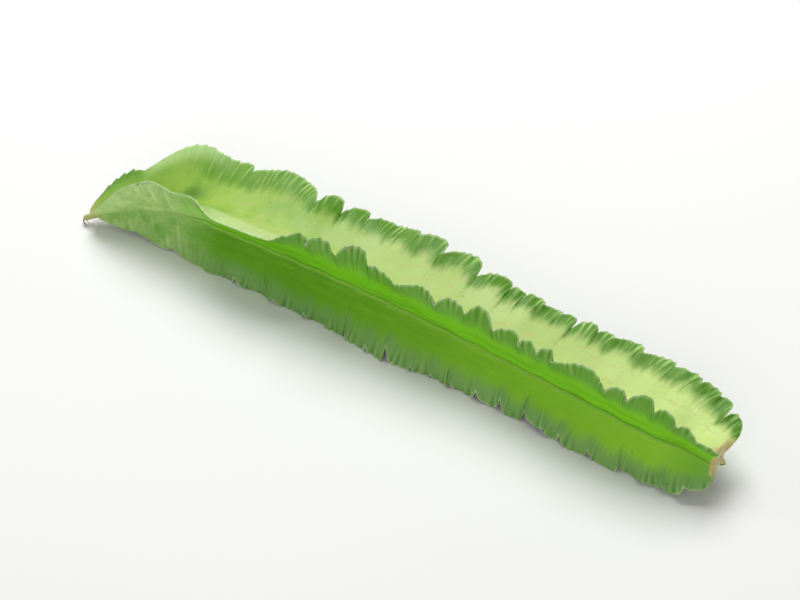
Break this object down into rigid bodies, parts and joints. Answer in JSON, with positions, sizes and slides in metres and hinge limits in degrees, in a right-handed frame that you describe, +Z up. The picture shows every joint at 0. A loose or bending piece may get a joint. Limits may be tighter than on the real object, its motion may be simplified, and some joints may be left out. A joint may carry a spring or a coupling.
{
  "type": "winged bean",
  "caption": "Fresh green winged bean pod with frilled wings along its length, a bent beak and a cut stalk end, lying on its side.",
  "frame": {"origin": "on the surface that the pod lies on, under the middle of its bounding box", "axes": "+X runs along the pod from its beak to its stalk end, +Z is up, and the beak bends towards -Y"},
  "size_m": [0.206, 0.0422, 0.0326],
  "materials": {
    "pod_green": "satin"
  },
  "bodies": {
    "root": {"pod": "pod_green"}
  },
  "joints": []
}
